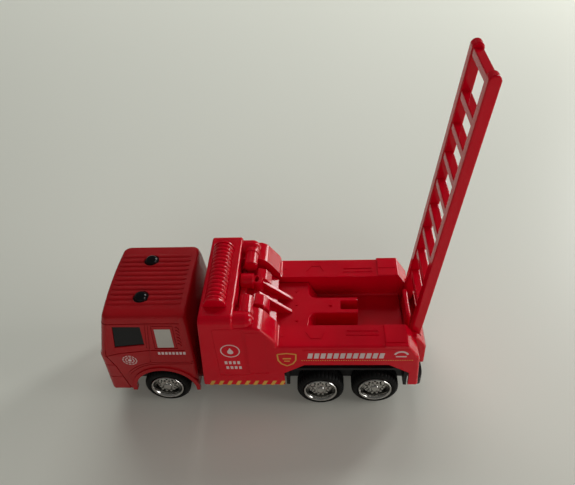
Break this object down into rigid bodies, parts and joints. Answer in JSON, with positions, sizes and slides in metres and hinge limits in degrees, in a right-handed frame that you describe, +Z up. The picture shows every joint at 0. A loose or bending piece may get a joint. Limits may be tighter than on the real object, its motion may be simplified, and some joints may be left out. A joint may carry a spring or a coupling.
{
  "type": "toy fire engine",
  "caption": "Toy fire engine with a die-cast cab, a moulded body with a pump block and open bed, free-rolling wheels and a pivoting ladder.",
  "frame": {"origin": "centre of the box round the toy with its ladder raised, on the surface that the tyres stand on", "axes": "+X forward towards the cab, +Y to the vehicle's left, +Z up"},
  "size_m": [0.139, 0.05, 0.1392],
  "materials": {
    "red_paint": "satin-gloss red enamel over die-cast metal, slightly duller and darker than the plastic",
    "red_plastic": "glossy saturated red ABS with soft moulded edges",
    "dark_glazing": "glossy black moulding",
    "black_plastic": "matt black ABS with a fine moulded grain",
    "silver_plating": "bright vacuum-plated plastic",
    "rubber": "soft black vinyl rubber",
    "steel": "plain drawn steel"
  },
  "bodies": {
    "vehicle": {"cab_shell": "red_paint", "cab_glazing": "dark_glazing", "roof_beacon_left": "dark_glazing", "roof_beacon_right": "dark_glazing", "body_shell": "red_plastic", "equipment_deck": "red_plastic", "hose_roll": "red_plastic", "chassis_base": "black_plastic", "front_screw": "steel", "middle_screw": "steel", "rear_screw": "steel"},
    "ladder_frame": {"ladder": "red_plastic"},
    "front_wheelset": {"front_axle": "steel", "front_hub_left": "silver_plating", "front_tyre_left": "rubber", "front_hub_right": "silver_plating", "front_tyre_right": "rubber"},
    "middle_wheelset": {"middle_axle": "steel", "middle_hub_left": "silver_plating", "middle_tyre_left": "rubber", "middle_hub_right": "silver_plating", "middle_tyre_right": "rubber"},
    "rear_wheelset": {"rear_axle": "steel", "rear_hub_left": "silver_plating", "rear_tyre_left": "rubber", "rear_hub_right": "silver_plating", "rear_tyre_right": "rubber"}
  },
  "joints": [
    {"name": "ladder_pivot", "type": "hinge", "parent": "vehicle", "child": "ladder_frame", "pos_m": [-0.05549, 0, 0.028], "axis": [0, 1, 0], "range_deg": [0, 73]},
    {"name": "front_axle_spin", "type": "hinge", "parent": "vehicle", "child": "front_wheelset", "pos_m": [0.04521, 0, 0.0095], "axis": [0, 1, 0], "continuous": true},
    {"name": "middle_axle_spin", "type": "hinge", "parent": "vehicle", "child": "middle_wheelset", "pos_m": [-0.01819, 0, 0.0095], "axis": [0, 1, 0], "continuous": true},
    {"name": "rear_axle_spin", "type": "hinge", "parent": "vehicle", "child": "rear_wheelset", "pos_m": [-0.04019, 0, 0.0095], "axis": [0, 1, 0], "continuous": true}
  ]
}
